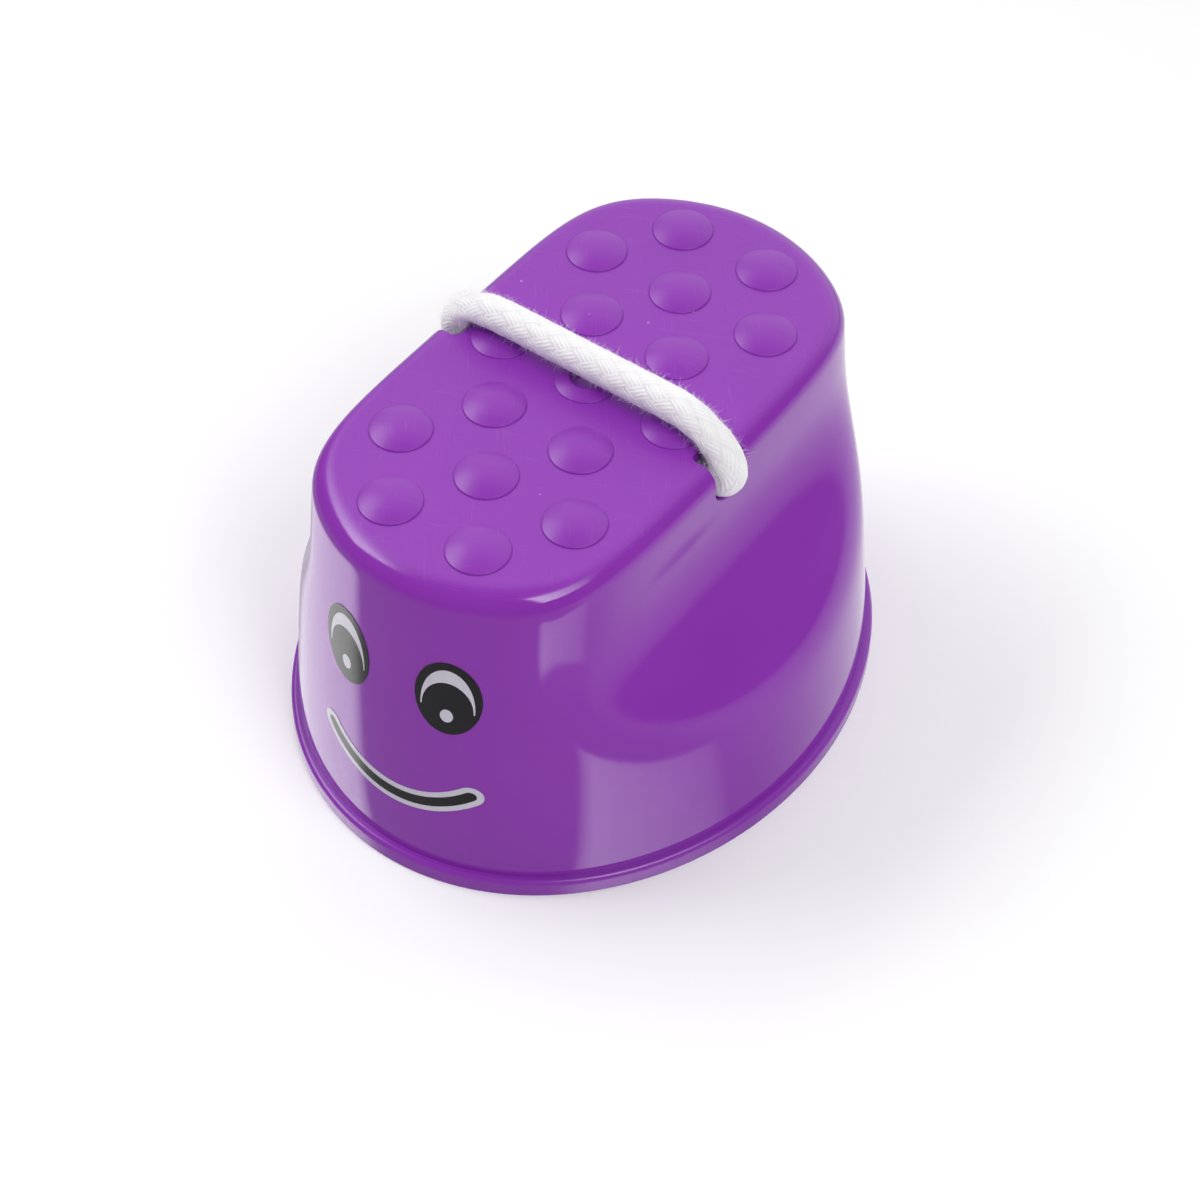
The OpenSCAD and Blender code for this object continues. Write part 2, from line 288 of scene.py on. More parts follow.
def braidedTube(name, line, sides, radius, pressed=()):
    way, side, lift = carriedFrame(line)
    along = lengthsAlong(line)
    turn = np.arange(sides) * 2 * math.pi / sides
    height = braidHeight(turn[None, :], along[:, None])
    out = (np.cos(turn)[None, :, None] * side[:, None, :]
           + np.sin(turn)[None, :, None] * lift[:, None, :])
    reach = radius - rope["pillow"] * (rope["pillowSeat"] - height)
    for (x, z), extent, share in pressed:
        near = np.exp(-((line[:, 0] - x) ** 2 + (line[:, 2] - z) ** 2) / extent ** 2)
        reach = reach * (1 - share * near[:, None] * np.abs(np.sin(turn))[None, :])
    piece = loftPiece(name, line[:, None, :] + reach[:, :, None] * out)
    # one unit of the map is once round the rope, both ways
    once = 2 * math.pi * radius
    ropeMap = piece.data.uv_layers.new(name="alongRope")
    uv = []
    for i in range(len(line) - 1):
        low, high = along[i] / once, along[i + 1] / once
        for k in range(sides):
            uv += [k / sides, low, (k + 1) / sides, low, (k + 1) / sides, high, k / sides, high]
    uv += [0.0, 0.0] * (2 * sides)
    ropeMap.data.foreach_set("uv", uv)
    # how deep each point lies between the strands, by which the cotton's colour paints shade
    hollow = piece.data.attributes.new("hollow", "FLOAT", "POINT")
    hollow.data.foreach_set("value", (1 - height).ravel())
    piece.data.polygons.foreach_set("use_smooth", [True] * len(piece.data.polygons))
    return piece


def addRope():
    coil, endWay = coilPath()
    lead = coil[0] + Vector((rope["diameter"], 0, 0))
    points = [Vector(p) for p in rope["route"]] + [lead] + coil
    line = throughPoints(points, rope["runStep"], rope["coilStep"], len(rope["route"]))
    piece = braidedTube("rope", line, rope["sides"], rope["diameter"] / 2, rope["pressed"])
    return piece, line, endWay


ropePiece, ropeLine, ropeEndWay = addRope()


# Fuzz: loose cotton fibres that stand off the rope where it shows
fuzz = {
    "count": 13000,
    "from": 6,  # along the rope, from the left notch to the right one
    "to": 82,
    "short": 0.12,
    "mean": 0.27,
    "longest": 1.3,
    "thick": 0.034,  # drawn about twice as thick as a cotton fibre, so that it shows
    "lean": 0.8,
    "curl": 0.35,
    "bends": (0, 0.35, 0.7, 1),  # shares of a fibre's length at which it has a ring
    "sides": 3,
    "taper": 0.6,
    "lowest": -0.55,  # no fibre starts further round, where the rope lies on the tread
    "aside": 0.01,  # keeps a straight fibre's sides defined
    "seed": 11,
}


def addFuzz(line):
    draw = np.random.RandomState(fuzz["seed"])
    way, side, lift = carriedFrame(line)
    along = lengthsAlong(line)
    count = fuzz["count"]
    at = np.searchsorted(along, draw.uniform(fuzz["from"], fuzz["to"], count))
    turn = draw.uniform(0, 2 * math.pi, count)
    out = np.cos(turn)[:, None] * side[at] + np.sin(turn)[:, None] * lift[at]
    across = np.cross(way[at], out)
    lean = draw.normal(0, fuzz["lean"], (count, 2))
    aim = out + lean[:, :1] * way[at] + lean[:, 1:] * across
    aim /= np.linalg.norm(aim, axis=1)[:, None]
    length = np.minimum(fuzz["longest"], fuzz["short"] + draw.exponential(fuzz["mean"], count))
    curl = draw.normal(0, fuzz["curl"], (count, 3)) * length[:, None]
    root = line[at] + (rope["diameter"] / 2 - rope["pillow"]) * out
    keep = out[:, 2] > fuzz["lowest"]
    first = np.cross(aim, curl + fuzz["aside"])
    first /= np.linalg.norm(first, axis=1)[:, None]
    second = np.cross(aim, first)
    rings, sides = [], fuzz["sides"]
    for share in fuzz["bends"]:
        middle = root + share * length[:, None] * aim + share ** 2 * curl
        thick = fuzz["thick"] / 2 * (1 - fuzz["taper"] * share)
        ring = [middle + thick * (math.cos(a) * first + math.sin(a) * second)
                for a in (2 * math.pi * k / sides for k in range(sides))]
        rings.append(np.stack(ring, 1))
    points = np.stack(rings, 1)[keep].reshape(-1, 3) * mm
    faces = []
    for hair in range(int(keep.sum())):
        base = sides * len(rings) * hair
        tip = base + sides * (len(rings) - 1)
        for low in range(base, tip, sides):
            for k in range(sides):
                a, b = low + k, low + (k + 1) % sides
                faces.append((a, b, b + sides, a + sides))
        faces.append(tuple(range(base, base + sides))[::-1])
        faces.append(tuple(range(tip, tip + sides)))
    return meshPiece("ropeFuzz", points.tolist(), faces)


fuzzPiece = addFuzz(ropeLine)
print("fuzz:", len(fuzzPiece.data.polygons), "faces")


# Cup: one moulding, pushed ring by ring from its ceiling down inside, round the rim and up to the tread
cup = {
    "length": 110,
    "width": 93,
    "height": 65,
    "wall": 2.2,
    "tread": 2.4,
    "rimWidth": 1.4,
    "rimHeight": 3.5,
    "rimRound": 0.9,
    "rimFoot": 0.3,
    "endLean": 4.7,
    "sideLean": 7.3,
    "swell": 1.25,
    "edgeRound": 3.6,
    "waist": 54.6,
    "scoopDrop": 9.8,
    "scoopHeight": 24.2,
    "scoopOut": 17,
    "scoopPower": 2.6,
    "blendPower": 10.5,
    "steps": 240,
    "wallRings": 48,
    "innerRings": 24,
    "roundRings": 8,
    "levelRing": 0.4,  # a narrow flat ring holds the shading of the tread level
    "smoothAngle": 25,
}
treadStuds = {
    "width": 10,
    "height": 1.6,
    "dome": 1.06,  # low dome over a steep step
    "step": 0.2,
    "stepEdge": 0.18,
    "stepLean": 12,  # degrees of draft
    "root": 1,  # how far a stud reaches down into the tread
    "sideGap": 2.3,
    "endGap": 2.7,
    "rows": 3,  # on either side of the middle row
    "rings": 12,
    "edgeRings": 5,
    "steps": 64,
    "wellWidth": 5.2,
    "wellDepth": 1.9,
}
ropeNotch = {
    "width": 7.8,
    "into": 5,
    "depth": 8.3,
    "corner": 1.3,
    "treadFlare": 0.45,  # the moulded edges are eased on the tread and on the wall
    "wallFlare": 0.4,
    "wallReach": 3.8,  # how far inside the waist the cut through the wall starts
    "slack": 0.02,  # keeps the two cuts off a common plane
    "cornerSteps": 6,
    "roundSteps": 24,
    "over": 3,
}
treadHeight = cup["height"] - treadStuds["height"]
edgeHeight = treadHeight - cup["edgeRound"]


def ovalRadius(turn, a, b):
    return a * b / math.hypot(b * math.cos(turn), a * math.sin(turn))


def wallRadius(turn, height):
    lean = max(0, (height - cup["rimHeight"]) / (treadHeight - cup["rimHeight"])) ** cup["swell"]
    oval = ovalRadius(
        turn,
        cup["width"] / 2 - cup["rimWidth"] - cup["sideLean"] * lean,
        cup["length"] / 2 - cup["rimWidth"] - cup["endLean"] * lean,
    )
    drop = max(0, treadHeight - cup["scoopDrop"] - height) / cup["scoopHeight"]
    scoop = cup["waist"] / 2 + cup["scoopOut"] * drop ** cup["scoopPower"]
    power = cup["blendPower"]
    radius = oval * (1 + (oval * abs(math.cos(turn)) / scoop) ** power) ** (-1 / power)
    if height > edgeHeight:
        rise = height - edgeHeight
        radius -= cup["edgeRound"] - math.sqrt(max(0, cup["edgeRound"] ** 2 - rise ** 2))
    return radius


def quarterTurn(count):
    return [math.pi / 2 * i / count for i in range(count + 1)]


def cupRings():
    rings = []

    def wallRing(height, out=0):
        rings.append((lambda turn: wallRadius(turn, height) + out, height))

    def innerRing(height):
        rings.append((lambda turn: wallRadius(turn, height + cup["wall"]) - cup["wall"], height))

    def rimRing(height, inset):
        half = (cup["width"] / 2 - inset, cup["length"] / 2 - inset)
        rings.append((lambda turn: ovalRadius(turn, *half), height))

    ceiling = treadHeight - cup["tread"]
    for i in range(cup["innerRings"], -1, -1):
        innerRing(ceiling * i / cup["innerRings"])
    quarter = quarterTurn(cup["roundRings"])
    for a in quarter:
        rimRing(cup["rimFoot"] * (1 - math.cos(a)), cup["rimFoot"] * (1 - math.sin(a)))
    for a in quarter:
        drop = cup["rimRound"] * (1 - math.sin(a))
        rimRing(cup["rimHeight"] - drop, cup["rimRound"] * (1 - math.cos(a)))
    rise = edgeHeight - cup["rimHeight"]
    for i in range(cup["wallRings"] + 1):
        wallRing(cup["rimHeight"] + rise * i / cup["wallRings"])
    for a in quarter[1:]:
        wallRing(edgeHeight + cup["edgeRound"] * math.sin(a))
    wallRing(treadHeight, -cup["levelRing"])
    return rings


def addStud():
    half, dome, edge = treadStuds["width"] / 2, treadStuds["dome"], treadStuds["stepEdge"]
    ball = (half ** 2 + dome ** 2) / (2 * dome)
    lean = math.asin((half - edge) / ball)
    draft = math.radians(treadStuds["stepLean"])
    top = treadStuds["step"] + dome
    rings = [(lambda turn: half, -treadStuds["root"]), (lambda turn: half, 0)]
    # round the step's edge from its steep side to the slope where the dome starts
    out, up = ball * math.sin(lean), top - ball * (1 - math.cos(lean))
    count = treadStuds["edgeRings"]
    for i in range(count + 1):
        a = (math.pi / 2 - draft) * (1 - i / count) + lean * i / count
        rings.append((lambda turn, a=a: out + edge * (math.sin(a) - math.sin(lean)),
                      up + edge * (math.cos(a) - math.cos(lean))))
    for i in range(1, treadStuds["rings"]):
        a = lean * (1 - i / treadStuds["rings"])
        rings.append((lambda turn, a=a: ball * math.sin(a), top - ball * (1 - math.cos(a))))
    return extrudeRings("stud", treadStuds["steps"], rings)


def studPlaces():
    rows = treadStuds["rows"]
    stepY = (cup["length"] / 2 - cup["rimWidth"] - cup["endLean"] - cup["edgeRound"]
             - treadStuds["endGap"] - treadStuds["width"] / 2) / rows
    stepX = cup["waist"] / 2 - cup["edgeRound"] - treadStuds["sideGap"] - treadStuds["width"] / 2
    for row in range(-rows, rows + 1):
        for place in (-1, 0, 1) if row % 2 == 0 else (-0.5, 0.5):
            yield place * stepX, row * stepY


def addStuds():
    first = addStud()
    studs = []
    for x, y in studPlaces():
        stud = copyOf(first, "stud")
        stud.data.transform(Matrix.Translation(Vector((x, y, treadHeight)) * mm))
        studs.append(stud)
    bpy.data.objects.remove(first)
    return joined("studs", studs)


def slotCutter(way):
    # down through the tread: a block with round corners that widens there, so that the edge is eased
    half = ropeNotch["width"] / 2 - ropeNotch["slack"]
    inner = cup["waist"] / 2 - ropeNotch["into"]
    outer = cup["waist"] / 2 + ropeNotch["over"]
    corner, flare = ropeNotch["corner"], ropeNotch["treadFlare"]
    low = treadHeight - ropeNotch["depth"] + ropeNotch["width"] / 2
    levels = [(0, low)]
    levels += [(flare * (1 - math.cos(a)), treadHeight - flare * (1 - math.sin(a)))
               for a in quarterTurn(ropeNotch["cornerSteps"])]
    levels.append((flare, treadHeight + ropeNotch["over"]))
    rings = []
    for out, height in levels:
        ring = []
        for k, (x, y) in enumerate(((outer, half), (inner, half), (inner, -half), (outer, -half))):
            inX = corner if x == inner else -corner
            inY = -corner if y > 0 else corner
            for a in quarterTurn(ropeNotch["cornerSteps"]):
                turn = a + k * math.pi / 2
                ring.append((way * (x + inX + (corner + out) * math.cos(turn)),
                             y + inY + (corner + out) * math.sin(turn), height))
        rings.append(ring)
    return loftPiece("slotCutter", rings)


def wallCutter(way):
    # in through the wall: a U that widens at the wall's outer face
    half, flare = ropeNotch["width"] / 2, ropeNotch["wallFlare"]
    middle = treadHeight - ropeNotch["depth"] + half
    top = treadHeight + ropeNotch["over"]
    wallFace = cup["waist"] / 2
    levels = [(0, wallFace - ropeNotch["wallReach"])]
    levels += [(flare * (1 - math.cos(a)), wallFace - flare * (1 - math.sin(a)))
               for a in quarterTurn(ropeNotch["cornerSteps"])]
    levels.append((flare, wallFace + ropeNotch["over"]))
    rings = []
    for out, x in levels:
        reach = half + out
        ring = [(way * x, reach, top)]
        for i in range(ropeNotch["roundSteps"] + 1):
            turn = -math.pi * i / ropeNotch["roundSteps"]
            ring.append((way * x, reach * math.cos(turn), middle + reach * math.sin(turn)))
        ring.append((way * x, -reach, top))
        rings.append(ring)
    return loftPiece("wallCutter", rings)


def cutterPair(name, cutter):
    pair = joined(name, [cutter(-1), cutter(1)])
    bpy.ops.object.mode_set(mode="EDIT")
    faceOutwards()
    return pair


def addCup():
    piece = extrudeRings("cup", cup["steps"], cupRings())
    boolean(piece, addStuds(), "UNION")
    boolean(piece, cutterPair("wallCutters", wallCutter), "DIFFERENCE")
    boolean(piece, cutterPair("slotCutters", slotCutter), "DIFFERENCE")
    well = extrudeRings("well", treadStuds["steps"], [
        (lambda turn: treadStuds["wellWidth"] / 2, cup["height"] - treadStuds["wellDepth"]),
        (lambda turn: treadStuds["wellWidth"] / 2, cup["height"] + ropeNotch["over"]),
    ])
    boolean(piece, well, "DIFFERENCE")
    smooth(piece, cup["smoothAngle"])
    even = piece.modifiers.new("even", "WEIGHTED_NORMAL")
    even.keep_sharp = True
    applyModifiers(piece)
    return piece


cupPiece = addCup()
print("cup:", len(cupPiece.data.polygons), "faces")


# Printed face: a thin skin of ink on the wall, cut to each figure
face = {
    "middle": 1.2,
    "eyesApart": 18.8,
    "eyeHeight": 42.2,
    "eye": (10.2, 15.1),
    "glint": (0.81, 1.01),  # these are shares of the eye's half-sizes
    "glintRise": -0.21,
    "pupil": (0.77, 0.755),
    "pupilRise": -0.305,
    "glintTip": -0.31,
    "dot": (0.195, 0.18),
    "dotRise": -0.48,
    "mouthWidth": 26.6,
    "mouthSag": 4.9,
    "mouthLow": 16.6,
    "mouthLine": 2,
    "mouthEdge": 1.05,
    "inkGap": 0.02,
    "ink": 0.05,
    "skinTurn": 26,  # degrees that the skin reaches to either side of the front
    "skinLow": 8,
    "skinHigh": 54,
    "grain": 0.4,
    "ovalSteps": 96,
    "arcSteps": 40,
    "capSteps": 16,
    "smoothAngle": 30,
}


def addInkSkin():
    startPiece()
    turnSpan = math.radians(2 * face["skinTurn"])
    span = face["skinHigh"] - face["skinLow"]
    across = round(turnSpan * cup["length"] / 2 / face["grain"])
    up = round(span / face["grain"])
    bpy.ops.mesh.primitive_grid_add(x_subdivisions=across, y_subdivisions=up, size=2)
    skin = bpy.context.object
    skin.name = "inkSkin"
    for point in skin.data.vertices:
        turn = -math.pi / 2 + point.co.x * turnSpan / 2
        height = face["skinLow"] + span * (point.co.y + 1) / 2
        radius = wallRadius(turn, height) + face["inkGap"]
        point.co = Vector((radius * math.cos(turn), radius * math.sin(turn), height)) * mm
    thick = skin.modifiers.new("ink", "SOLIDIFY")
    thick.thickness = face["ink"] * mm
    thick.offset = 1
    applyModifiers(skin)
    return skin


def ovalTool(x, z, half):
    # a block of oval outline that reaches through the front of the wall
    startPiece()
    bpy.ops.mesh.primitive_cylinder_add(vertices=face["ovalSteps"], radius=1, depth=1)
    tool = bpy.context.object
    deep = Matrix.Diagonal((half[0], half[1], cup["length"], 1))
    turned = Matrix.Rotation(math.pi / 2, 4, "X")
    place = Matrix.Translation((x, -cup["length"] / 2, z))
    tool.data.transform(Matrix.Scale(mm, 4) @ place @ turned @ deep)
    return tool


def eyeTool(x, shares=(1, 1), rise=0):
    half = (face["eye"][0] / 2, face["eye"][1] / 2)
    part = (shares[0] * half[0], shares[1] * half[1])
    return ovalTool(x, face["eyeHeight"] + rise * half[1], part)


def glintTool(x):
    # the crescent over the pupil and the dot in it
    tool = eyeTool(x, face["glint"], face["glintRise"])
    boolean(tool, eyeTool(x, face["pupil"], face["pupilRise"]), "DIFFERENCE")
    startPiece()
    bpy.ops.mesh.primitive_cube_add(size=1)
    below = bpy.context.object
    tip = face["eyeHeight"] + face["glintTip"] * face["eye"][1] / 2
    depth = face["eye"][1]
    place = Matrix.Translation((x, -cup["length"] / 2, tip - depth / 2))
    block = Matrix.Diagonal((depth, 2 * cup["length"], depth, 1))
    below.data.transform(Matrix.Scale(mm, 4) @ place @ block)
    boolean(tool, below, "DIFFERENCE")
    boolean(tool, eyeTool(x, face["dot"], face["dotRise"]), "UNION")
    return tool


def mouthTool(line):
    # an arc of the smile's thickness with round ends
    half, sag = face["mouthWidth"] / 2, face["mouthSag"]
    arc = (half ** 2 + sag ** 2) / (2 * sag)
    reach = math.asin(half / arc)
    middle = (face["middle"], face["mouthLow"] + arc)
    turns = [reach * (2 * i / face["arcSteps"] - 1) for i in range(face["arcSteps"] + 1)]
    caps = [math.pi * i / face["capSteps"] for i in range(1, face["capSteps"])]

    def onArc(radius, turn):
        return middle[0] + radius * math.sin(turn), middle[1] - radius * math.cos(turn)

    def capPoint(turn, a):
        x, z = onArc(arc, turn)
        return x + line / 2 * math.sin(a), z - line / 2 * math.cos(a)

    outline = [onArc(arc + line / 2, t) for t in turns]
    outline += [capPoint(reach, reach + a) for a in caps]
    outline += [onArc(arc - line / 2, t) for t in reversed(turns)]
    outline += [capPoint(-reach, math.pi - reach + a) for a in caps]
    front = [(x * mm, -cup["length"] * mm, z * mm) for x, z in outline]
    tool = meshPiece("mouthTool", front, [list(range(len(front)))])
    pick(tool)
    bpy.ops.object.mode_set(mode="EDIT")
    bpy.ops.mesh.select_all(action="SELECT")
    bpy.ops.mesh.extrude_region_move(TRANSFORM_OT_translate={"value": (0, cup["length"] * mm, 0)})
    faceOutwards()
    return tool


def inkFigure(name, skin, keep, leave=None):
    piece = copyOf(skin, name)
    boolean(piece, keep, "INTERSECT")
    if leave:
        boolean(piece, leave, "DIFFERENCE")
    smooth(piece, face["smoothAngle"])
    return piece


def addFace():
    skin = addInkSkin()
    figures = {}
    for side, way in (("left", -0.5), ("right", 0.5)):
        x = face["middle"] + way * face["eyesApart"]
        figures[side + "_eye_black"] = inkFigure(side + "EyeBlack", skin, eyeTool(x), glintTool(x))
        figures[side + "_eye_white"] = inkFigure(side + "EyeWhite", skin, glintTool(x))
    line, edge = face["mouthLine"], face["mouthEdge"]
    figures["mouth_black"] = inkFigure("mouthBlack", skin, mouthTool(line))
    figures["mouth_white"] = inkFigure("mouthWhite", skin, mouthTool(line + 2 * edge), mouthTool(line))
    bpy.data.objects.remove(skin)
    return figures


facePieces = addFace()
print("printed face:", {name: len(piece.data.polygons) for name, piece in facePieces.items()})


# Knots: the rope wound round itself, with its tail through the turns
knot = {
    "length": 11,
    "tail": 4,
    "turns": 2.3,
    "core": 2.0,
    "strand": 2.1,
    "tuck": 0.3,
    "endShare": 0.2,  # share of the winding in which each end comes out from the middle
    "rings": 96,
    "sides": 24,
}


def addKnot(name, start, way):
    start, way = Vector(start), Vector(way).normalized()
    ring = knot["core"] + knot["strand"] - knot["tuck"]
    turned = Vector((0, 0, 1)).rotation_difference(way).to_matrix()
    points = []
    for i in range(knot["rings"] + 1):
        share = i / knot["rings"]
        out = ring * math.sqrt(min(1, share / knot["endShare"], (1 - share) / knot["endShare"]))
        a = 2 * math.pi * knot["turns"] * share
        rise = knot["strand"] + (knot["length"] - 2 * knot["strand"]) * share
        points.append(start + turned @ Vector((out * math.cos(a), out * math.sin(a), rise)))
    wound = braidedTube(name, np.array(points), knot["sides"], knot["strand"])
    reach = knot["length"] + knot["tail"]
    through = [start + way * reach * i / knot["rings"] for i in range(knot["rings"] + 1)]
    thin = rope["diameter"] / 2 - knot["tuck"]
    core = braidedTube(name + "Core", np.array(through), knot["sides"], thin)
    return joined(name, [wound, core])


leftStart, leftNext = (Vector(p) for p in rope["route"][:2])
leftKnot = addKnot("leftKnot", leftStart, leftStart - leftNext)
endKnot = addKnot("endKnot", ropeLine[-1], ropeEndWay)
print("knots: left at", tuple(leftStart), "end at", tuple(round(x, 1) for x in ropeLine[-1]))


# Tie: a flat tape round the turns at the coil's side, in the place of its CAD solid
tie = {"thick": 0.8, "corner": 2.4, "cornerSteps": 8, "smoothAngle": 40}


def addTie():
    (x0, y0, z0), (x1, y1, z1) = ([c / mm for c in corner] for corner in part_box("coil_tie"))
    corner, inset = tie["corner"], tie["thick"] / 2
    centres = [(x1 - corner, z0 + corner), (x1 - corner, z1 - corner),
               (x0 + corner, z1 - corner), (x0 + corner, z0 + corner)]
    line = []
    for k, (x, z) in enumerate(centres):
        for i in range(tie["cornerSteps"] + 1):
            a = -math.pi / 2 + math.pi / 2 * (k + i / tie["cornerSteps"])
            line.append((x + (corner - inset) * math.cos(a), z + (corner - inset) * math.sin(a)))
    points, faces, count = [], [], len(line)
    for y in (y0, y1):
        points += [(x * mm, y * mm, z * mm) for x, z in line]
    for i in range(count):
        j = (i + 1) % count
        faces.append((i, j, j + count, i + count))
    piece = meshPiece("coilTie", points, faces)
    thick = piece.modifiers.new("tape", "SOLIDIFY")
    thick.thickness = tie["thick"] * mm
    thick.offset = 0
    applyModifiers(piece)
    smooth(piece, tie["smoothAngle"])
    return piece


tiePiece = addTie()
print("tie:", len(tiePiece.data.polygons), "faces")


# Materials
def linear(code):
    # sRGB hex to the linear colour that a shader takes
    shades = [int(code[i:i + 2], 16) / 255 for i in (1, 3, 5)]
    return [s / 12.92 if s <= 0.04045 else ((s + 0.055) / 1.055) ** 2.4 for s in shades] + [1]


def perSize(size):
    # pattern scale for a real size in millimetres
    return 1 / (size * mm)


def addNode(tree, kind, settings=None, links=None):
    node = tree.nodes.new("ShaderNode" + kind)
    for name, value in (settings or {}).items():
        if isinstance(name, str) and hasattr(node, name):
            setattr(node, name, value)
        else:
            node.inputs[name].default_value = value
    for name, source in (links or {}).items():
        # a node stands for its first output
        output = source.outputs[0] if isinstance(source, bpy.types.Node) else source
        tree.links.new(output, node.inputs[name])
    return node


def newMaterial(name):
    material = bpy.data.materials.new(name)
    material.use_nodes = True
    tree = material.node_tree
    tree.nodes.clear()
    return material, tree


polypropylene = {
    "color": "#9034b3",
    "deep": "#882fac",  # where the dye lies denser
    "scuffed": "#c79cd8",
    "flow": 22,
    "wave": 16,
    "waveDepth": 0.02,
    "scuffWidth": 0.35,  # drawn wider than a hairline scratch, so that it shows
    "scuffLength": 6,
    "scuffDepth": 0.004,
    "scuffTurns": (25, -50),
    "scuffRange": (0.66, 0.78),  # of the noise, so that few streaks show
    "scuffShare": 0.06,
    "speckSpacing": 5.5,
    "speck": 0.22,
    "wallRoughness": 0.09,
    "treadRoughness": 0.36,  # the tread was left satin in the tool, against slipping
    "rimRoughness": 0.25,
    "satinDepth": 0.9,  # how far down the rounded edge the satin reaches
    "grain": 0.3,
    "grainDepth": 0.004,
    "scuffRoughness": 0.15,  # added where it is worn
    "ior": 1.49,
}


def mouldedPolypropylene():
    # dyed through and moulded in a polished tool: deep colour under a clear, slightly wavy gloss,
    # with a satin tread that shoes have scuffed
    look = polypropylene
    material, tree = newMaterial("mouldedPolypropylene")
    where = addNode(tree, "TexCoord").outputs["Object"]
    flow = addNode(tree, "TexNoise", {"Scale": perSize(look["flow"])}, {"Vector": where})
    dye = addNode(tree, "Mix", {
        "data_type": "RGBA", 6: linear(look["color"]), 7: linear(look["deep"]),
    }, {0: flow})
    wave = addNode(tree, "TexNoise", {"Scale": perSize(look["wave"]), "Detail": 0},
                   {"Vector": where})
    # scuffs in two directions and specks lie on the tread only
    place = addNode(tree, "SeparateXYZ", links={0: where})
    tread = addNode(tree, "MapRange", {
        "From Min": (treadHeight - look["satinDepth"]) * mm, "From Max": treadHeight * mm,
    }, {"Value": place.outputs["Z"]})
    scuffs = []
    for turn in look["scuffTurns"]:
        turned = addNode(tree, "Mapping", {
            "vector_type": "TEXTURE",
            "Rotation": (0, 0, math.radians(turn)),
            "Scale": (look["scuffLength"] * mm, look["scuffWidth"] * mm, look["scuffLength"] * mm),
        }, {"Vector": where})
        streak = addNode(tree, "TexNoise", {"Scale": 1, "Detail": 1}, {"Vector": turned})
        scuffs.append(addNode(tree, "MapRange", {
            "From Min": look["scuffRange"][0], "From Max": look["scuffRange"][1],
        }, {"Value": streak}))
    scuff = addNode(tree, "Math", {"operation": "MAXIMUM"}, {0: scuffs[0], 1: scuffs[1]})
    cells = addNode(tree, "TexVoronoi", {"Scale": perSize(look["speckSpacing"])}, {"Vector": where})
    speckShare = look["speck"] / look["speckSpacing"]
    speck = addNode(tree, "MapRange", {
        "From Min": speckShare, "From Max": speckShare / 2,
    }, {"Value": cells.outputs["Distance"]})
    worn = addNode(tree, "Math", {"operation": "MULTIPLY_ADD", 1: look["scuffShare"]},
                   {0: scuff, 2: speck})
    wornTread = addNode(tree, "Math", {"operation": "MULTIPLY", "use_clamp": True},
                        {0: worn, 1: tread})
    color = addNode(tree, "Mix", {"data_type": "RGBA", 7: linear(look["scuffed"])},
                    {0: wornTread, 6: dye.outputs[2]})
    satin = addNode(tree, "MapRange", {
        "From Min": (treadHeight - look["satinDepth"]) * mm, "From Max": treadHeight * mm,
        "To Min": look["wallRoughness"], "To Max": look["treadRoughness"],
    }, {"Value": place.outputs["Z"]})
    rim = addNode(tree, "MapRange", {
        "From Min": (cup["rimHeight"] + cup["rimFoot"]) * mm, "From Max": cup["rimHeight"] * mm,
        "To Max": look["rimRoughness"] - look["wallRoughness"],
    }, {"Value": place.outputs["Z"]})
    dull = addNode(tree, "Math", {"operation": "ADD"}, {0: satin, 1: rim})
    roughness = addNode(tree, "Math", {"operation": "MULTIPLY_ADD", 1: look["scuffRoughness"]},
                        {0: wornTread, 2: dull})
    wavy = addNode(tree, "Bump", {"Distance": look["waveDepth"] * mm}, {"Height": wave})
    dented = addNode(tree, "Bump", {
        "Distance": look["scuffDepth"] * mm, "invert": True,
    }, {"Height": wornTread, "Normal": wavy})
    grain = addNode(tree, "TexNoise", {"Scale": perSize(look["grain"]), "Detail": 1},
                    {"Vector": where})
    onTread = addNode(tree, "Math", {"operation": "MULTIPLY"}, {0: grain, 1: tread})
    grained = addNode(tree, "Bump", {"Distance": look["grainDepth"] * mm},
                      {"Height": onTread, "Normal": dented})
    shader = addNode(tree, "BsdfPrincipled", {"IOR": look["ior"]}, {
        "Base Color": color.outputs[2], "Roughness": roughness, "Normal": grained,
    })
    addNode(tree, "OutputMaterial", links={"Surface": shader})
    return material


padPrint = {
    "black": ("#151318", "#1c191f"),  # where the film is thick, and where it is thin
    "white": ("#d3cfdc", "#c9c4d2"),
    "roughness": 0.12,
    "thin": 0.08,  # roughness added where the film is thin
    "ior": 1.38,
    "patch": 1.2,
    "patchDetail": 3,
}


def padPrintInk(name, code, thinCode):
    # solvent ink stamped on with a soft pad: nearly even, a little thinner in small patches,
    # and glossy as the wall
    material, tree = newMaterial(name)
    where = addNode(tree, "TexCoord").outputs["Object"]
    patch = addNode(tree, "TexNoise", {
        "Scale": perSize(padPrint["patch"]), "Detail": padPrint["patchDetail"],
    }, {"Vector": where})
    color = addNode(tree, "Mix", {"data_type": "RGBA", 6: linear(code), 7: linear(thinCode)},
                    {0: patch})
    gloss = addNode(tree, "MapRange", {
        "To Min": padPrint["roughness"], "To Max": padPrint["roughness"] + padPrint["thin"],
    }, {"Value": patch})
    shader = addNode(tree, "BsdfPrincipled", {"IOR": padPrint["ior"]},
                     {"Base Color": color.outputs[2], "Roughness": gloss})
    addNode(tree, "OutputMaterial", links={"Surface": shader})
    return material


